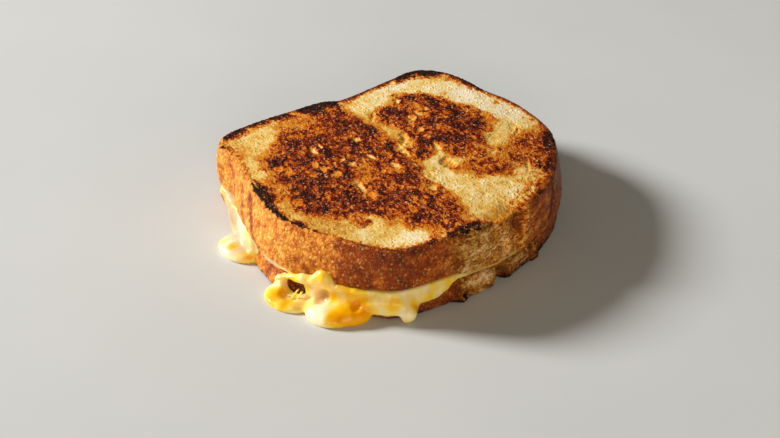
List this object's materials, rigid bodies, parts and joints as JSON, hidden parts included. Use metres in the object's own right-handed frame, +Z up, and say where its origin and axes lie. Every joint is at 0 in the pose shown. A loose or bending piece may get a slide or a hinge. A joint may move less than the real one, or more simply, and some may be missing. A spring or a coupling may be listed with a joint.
{
  "type": "grilled cheese sandwich",
  "caption": "Griddled sandwich of country-loaf slices with melted cheese between them, running down the near side into puddles. Lies flat on a plate or tray.",
  "frame": {"origin": "middle of the footprint, level with the underside that rests on the plate", "axes": "+X along the slices' longest side, towards the thin end of the sandwich; +Y towards the flat base of the loaf; +Z up through the top slice"},
  "size_m": [0.1434, 0.1155, 0.0295],
  "materials": {
    "toasted_bread": "matt, porous cream crumb browned in patches, with an orange-brown blistered crust and charred edges",
    "melted_cheese": "smooth and glossy, marbled cream and yellow-orange"
  },
  "bodies": {
    "root": {"bottom_slice": "toasted_bread", "cheese": "melted_cheese", "top_slice": "toasted_bread"}
  },
  "joints": []
}
